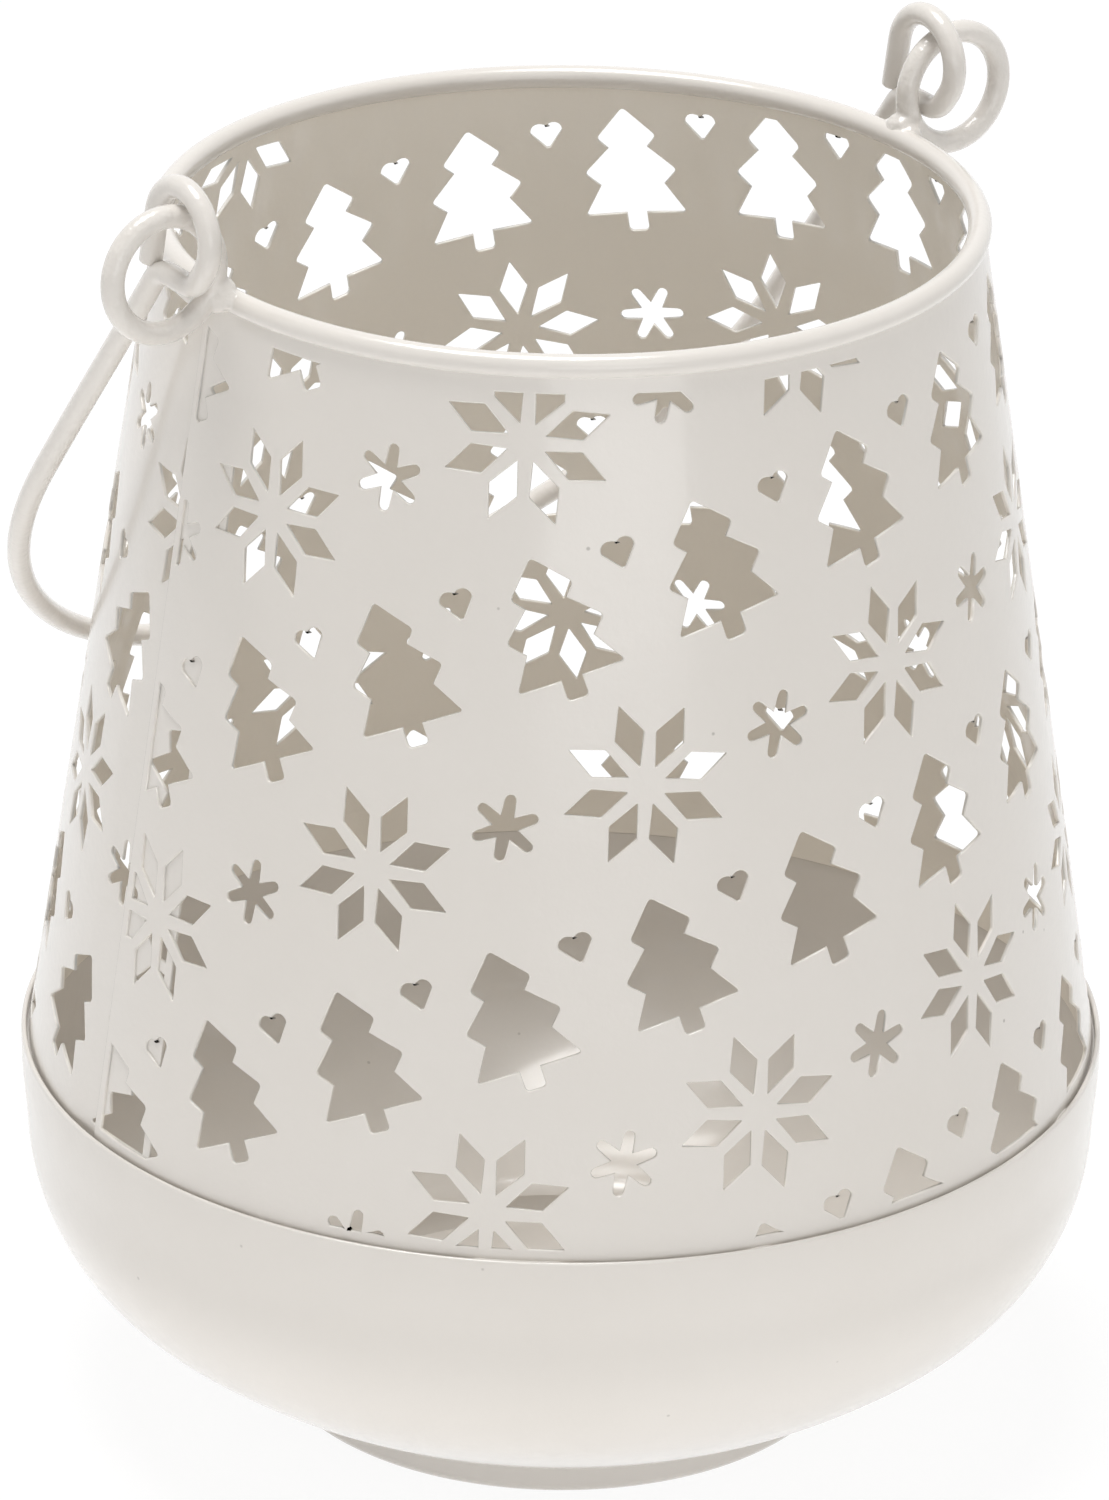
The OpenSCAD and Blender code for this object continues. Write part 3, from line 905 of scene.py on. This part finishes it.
def bowlSection(b):
    # outer side from the middle of the foot up to the lip, then the inner side back down
    corner = math.radians(b["cornerTurn"])
    cornerX = b["wallRadius"] - b["cornerRadius"]
    floorX = cornerX - (b["floorRadius"] - b["cornerRadius"]) * math.cos(corner)
    floorZ = b["footHeight"] + math.sqrt(b["floorRadius"] ** 2 - (b["footRadius"] - floorX) ** 2)
    cornerZ = floorZ - (b["floorRadius"] - b["cornerRadius"]) * math.sin(corner)

    def wall(inset):
        # the floor's curve and the corner, on the outer side or one sheet further in
        start = b["footRadius"] + b["footBlend"] - inset * 0.5 - floorX
        first = -90 + math.degrees(math.asin(start / b["floorRadius"]))
        floor = arcPoints((floorX, floorZ), b["floorRadius"] - inset, first, -b["cornerTurn"],
                          b["floorSteps"])
        return floor + arcPoints((cornerX, cornerZ), b["cornerRadius"] - inset, -b["cornerTurn"], 0,
                                 b["cornerSteps"])[1:]

    swell = b["lipRadius"] - b["wallRadius"]
    outside = wall(0) + [(b["wallRadius"], cornerZ + k) for k in range(1, int(b["lipHeight"] - cornerZ))]
    outside = [(x + swell * smoothStep(b["flareFrom"], b["flareTo"], z), z) for x, z in outside]
    rounding = b["footRounding"]
    foot = [(0, 0), (b["footRadius"] - rounding - b["footLand"], 0)]
    foot += arcPoints((b["footRadius"] - rounding, rounding), rounding, -90, 0, b["roundSteps"])
    foot += [(b["footRadius"] + out * b["footBlend"], b["footHeight"] + up * b["footBlend"])
             for out, up in b["footTurn"]]
    half = b["sheet"] / 2
    lip = arcPoints((b["lipRadius"] - half, b["lipHeight"] - half), half, 0, 180, b["roundSteps"])
    inside = [(b["lipRadius"] - b["sheet"], b["seatHeight"]),
              (b["wallRadius"] - b["sheet"], b["seatHeight"] - b["seatSlope"])]
    inside += [(x, z) for x, z in reversed(wall(b["sheet"])) if z < b["seatHeight"] - b["seatClear"]]
    step = b["footRadius"] - b["sheet"]
    above, below = b["footInside"]
    inside += [(step, b["footHeight"] - above), (step, rounding + below),
               (step - rounding + below, b["sheet"]), (0, b["sheet"])]
    return foot + outside + lip + inside


def buildBowl(b):
    bm = bmesh.new()
    spinProfile(bm, bowlSection(b), b["steps"])
    bmesh.ops.remove_doubles(bm, verts=bm.verts[:], dist=b["weldSnap"])
    bmesh.ops.recalc_face_normals(bm, faces=bm.faces[:])
    return bm


spunBowl = finishPiece("spunBowl", buildBowl(bowl), bowlEnamel, sharpAngle=35)
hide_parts("base_bowl")
print("bowl spun")


seam = {    # enamel that fills the seat between the shade and the bowl's lip
    "inner": 69.86,
    "outer": 70.24,
    "height": 50.1,
    "hollow": 0.06,
    "steps": 720,
    "rise": 0.42,
    "deep": 0.9,
    "patches": 3.1,            # scale of the filled lengths and of their finer breaks
    "breaks": 11,
    "breakShare": 0.5,
    "fillRange": (-0.15, 0.35),
    "openTowards": 324,        # the seam is mostly open on this side and across from it
    "openSharpness": 6,
    "openShare": 0.5,
}


def buildSeam(s):
    bm = bmesh.new()
    middle = (s["inner"] + s["outer"]) / 2
    section = [(s["inner"], s["height"]), (middle, s["height"] - s["hollow"]), (s["outer"], s["height"])]
    spinProfile(bm, section, s["steps"])
    towards = math.radians(s["openTowards"])
    openWay = Vector((math.cos(towards), math.sin(towards), 0))
    for vert in bm.verts:
        turn = Vector((vert.co.x, vert.co.y, 0)).normalized()
        level = noise.noise(turn * s["patches"])
        level += s["breakShare"] * noise.noise(turn * s["breaks"] + Vector((4, 0, 0)))
        bare = abs(turn.dot(openWay)) ** s["openSharpness"]
        fill = smoothStep(*s["fillRange"], level - s["openShare"] * bare)
        vert.co.z += (fill * s["rise"] - (1 - fill) * s["deep"]) * mm
    bmesh.ops.recalc_face_normals(bm, faces=bm.faces[:])
    return bm


finishPiece("seatFill", buildSeam(seam), sheetEnamel)
print("seat filled")

# the wire in the rolled rim is the CAD piece itself
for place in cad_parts["rim_wire"].material_slots:
    place.material = coreSteel


studio = {
    "floorSize": 6,
    "floorColour": (0.94, 0.94, 0.94, 1),
    "floorRoughness": 0.7,
    "floorGlow": 0.25,            # painted light: the floor glows, to light the foot and the underside from below
    "floorWhite": 0.86,           # how far the camera sees the floor as plain white
    "skyColour": (1.0, 0.985, 0.96, 1),
    "skyLight": 0.34,
    "lampAim": (0, 0, 0.08),
    "lamps": [
        # name, place, size, watts
        ("keySoftbox", (-0.5, -1.5, 1.2), 1.0, 1.9),
        ("fillSoftbox", (1.3, -0.9, 0.9), 1.2, 1.4),
        ("lowSoftbox", (-0.5, -1.15, 0.08), 0.8, 2.6),
        ("topSoftbox", (-0.1, 0.2, 1.7), 0.9, 22),
    ],
}


def whiteToCamera(tree, shader, share, kind):
    # the camera, mirrors and glass see plain white, everything else sees the real surface
    path = addNode(tree, "ShaderNodeLightPath").outputs
    seen = calculate(tree, "MAXIMUM", path["Is Camera Ray"], path["Is Glossy Ray"])
    seen = calculate(tree, "MAXIMUM", seen, path["Is Transmission Ray"])
    white = addNode(tree, kind, {"Color": (1, 1, 1, 1), "Strength": 1}).outputs[0]
    amount = calculate(tree, "MULTIPLY", seen, share)
    return addNode(tree, "ShaderNodeMixShader", {0: amount, 1: shader, 2: white}).outputs[0]


def buildFloor(setup):
    bm = bmesh.new()
    bmesh.ops.create_grid(bm, x_segments=2, y_segments=2, size=setup["floorSize"] / 2)
    floor = addObject("floor", meshFrom("floor", bm))
    material, tree, shader = newMaterial("paleFloor")
    shader.inputs["Base Color"].default_value = setup["floorColour"]
    shader.inputs["Roughness"].default_value = setup["floorRoughness"]
    # painted light from below: the floor itself glows
    shader.inputs["Emission Color"].default_value = (1, 1, 1, 1)
    shader.inputs["Emission Strength"].default_value = setup["floorGlow"]
    end = whiteToCamera(tree, shader.outputs[0], setup["floorWhite"], "ShaderNodeEmission")
    feed(tree, tree.nodes["Material Output"].inputs["Surface"], end)
    floor.data.materials.append(material)


def buildSky(setup):
    world = bpy.data.worlds.new("studioSky")
    scene.world = world
    world.use_nodes = True
    tree = world.node_tree
    sky = tree.nodes["Background"]
    sky.inputs["Color"].default_value = setup["skyColour"]
    sky.inputs["Strength"].default_value = setup["skyLight"]
    end = whiteToCamera(tree, sky.outputs[0], 1, "ShaderNodeBackground")
    feed(tree, tree.nodes["World Output"].inputs["Surface"], end)


def addLamps(setup):
    for name, place, size, watts in setup["lamps"]:
        data = bpy.data.lights.new(name, "AREA")
        data.shape = "DISK"
        data.size = size
        data.energy = watts
        addObject(name, data).matrix_world = aimedAt(place, setup["lampAim"])


buildFloor(studio)
buildSky(studio)
addLamps(studio)
scene.view_settings.view_transform = "Standard"
print("studio ready")
